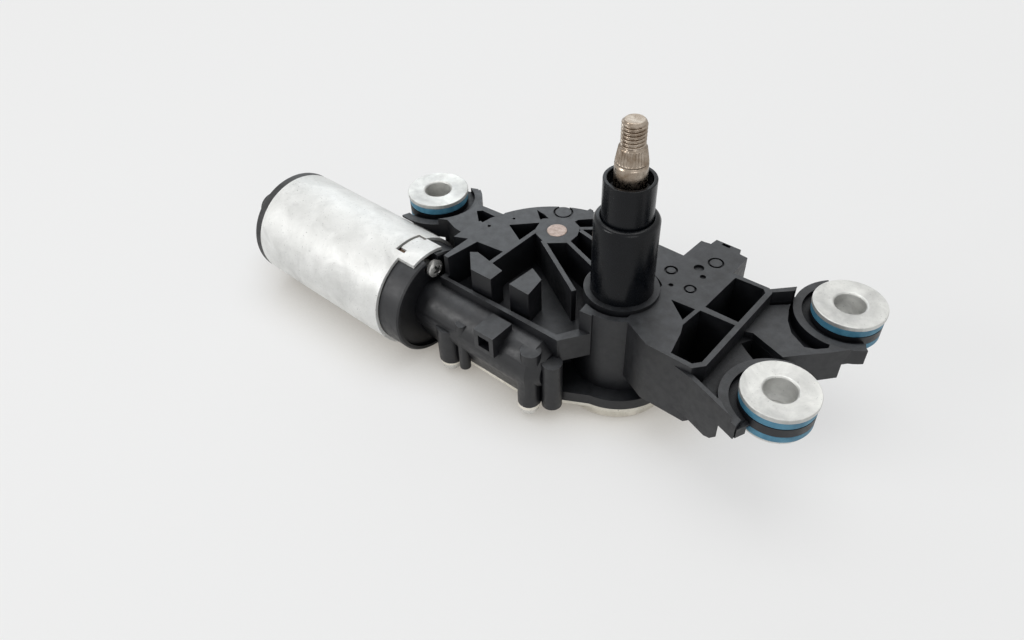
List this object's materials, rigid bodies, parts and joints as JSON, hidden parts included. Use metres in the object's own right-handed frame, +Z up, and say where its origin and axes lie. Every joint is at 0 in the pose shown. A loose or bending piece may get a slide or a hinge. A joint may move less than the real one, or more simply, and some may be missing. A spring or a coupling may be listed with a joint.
{
  "type": "wiper motor",
  "caption": "Rear window wiper motor: round steel motor beside a ribbed black gear housing, three rubber-mounted arms and a tall threaded output shaft.",
  "frame": {"origin": "on the output shaft's axis, at the wiper arm's seat where the knurled cone meets the thread", "axes": "+Z up along the output shaft, +X along the motor's axis from the motor towards the two-arm end, +Y away from the motor"},
  "size_m": [0.2519, 0.1065, 0.1125],
  "materials": {
    "black_nylon": "satin",
    "zinc_can": "satin",
    "dark_steel": "satin",
    "zinc_washer": "satin",
    "bare_steel": "polished",
    "black_steel": "gloss",
    "blue_rubber": "matte",
    "cover_steel": "satin",
    "white_nylon": "satin",
    "copper": "satin",
    "bronze": "satin",
    "ferrite": "matte",
    "core_steel": "satin",
    "carbon": "matte",
    "brown_board": "matte",
    "seal_rubber": "matte"
  },
  "bodies": {
    "housing": {"gear_housing": "black_nylon", "bottom_cover": "cover_steel", "cover_screws": "zinc_washer", "flange_screw": "zinc_washer", "motor_can": "zinc_can", "end_cap": "dark_steel", "rear_bearing": "bronze", "front_bearing": "bronze", "worm_bearing": "bronze", "magnets": "ferrite", "brush_plate": "brown_board", "carbon_brushes": "carbon", "brush_holders": "bronze", "chokes": "copper", "connector_blades": "bare_steel", "gear_axle": "bronze", "tower_sleeve": "black_steel", "spindle_tube": "black_steel", "upper_bush": "bronze", "lower_bush": "bronze", "foot_bush": "bronze", "shaft_seal": "seal_rubber", "near_bushing": "zinc_washer", "near_lower_washer": "zinc_washer", "near_grommet": "blue_rubber", "far_bushing": "zinc_washer", "far_lower_washer": "zinc_washer", "far_grommet": "blue_rubber", "rear_bushing": "zinc_washer", "rear_lower_washer": "zinc_washer", "rear_grommet": "blue_rubber"},
    "armature": {"armature_shaft": "bare_steel", "armature_core": "core_steel", "armature_windings": "copper", "commutator": "copper"},
    "wheel": {"worm_wheel": "white_nylon", "crank_pin": "bare_steel"},
    "spindle": {"output_shaft": "bare_steel", "drive_pinion": "core_steel", "retaining_ring": "bare_steel"},
    "guide": {"guide_link": "zinc_can"},
    "link": {"sector_link": "core_steel", "link_pin": "bare_steel"}
  },
  "joints": [
    {"name": "armature_spin", "type": "hinge", "parent": "housing", "child": "armature", "pos_m": [-0.0393, -0.0281, -0.0804], "axis": [1, 0, 0], "continuous": true},
    {"name": "wheel_spin", "type": "hinge", "parent": "housing", "child": "wheel", "pos_m": [-0.0393, 0.0132, -0.0804], "axis": [0, 0, 1], "continuous": true},
    {"name": "spindle_sweep", "type": "hinge", "parent": "housing", "child": "spindle", "pos_m": [0, 0, -0.0573], "axis": [0, 0, 1], "range_deg": [-60, 60]},
    {"name": "guide_swing", "type": "hinge", "parent": "housing", "child": "guide", "pos_m": [0, 0, -0.0903], "axis": [0, 0, 1], "range_deg": [-22, 22]},
    {"name": "link_turn", "type": "hinge", "parent": "guide", "child": "link", "pos_m": [-0.00704, 0.01324, -0.0883], "axis": [0, 0, 1], "range_deg": [-27, 27]}
  ],
  "couplings": [
    {"joint": "wheel_spin", "follows": "armature_spin", "ratio": -0.017857},
    {"joint": "guide_swing", "follows": "spindle_sweep", "ratio": 0.35},
    {"joint": "link_turn", "follows": "spindle_sweep", "ratio": -0.43333}
  ]
}
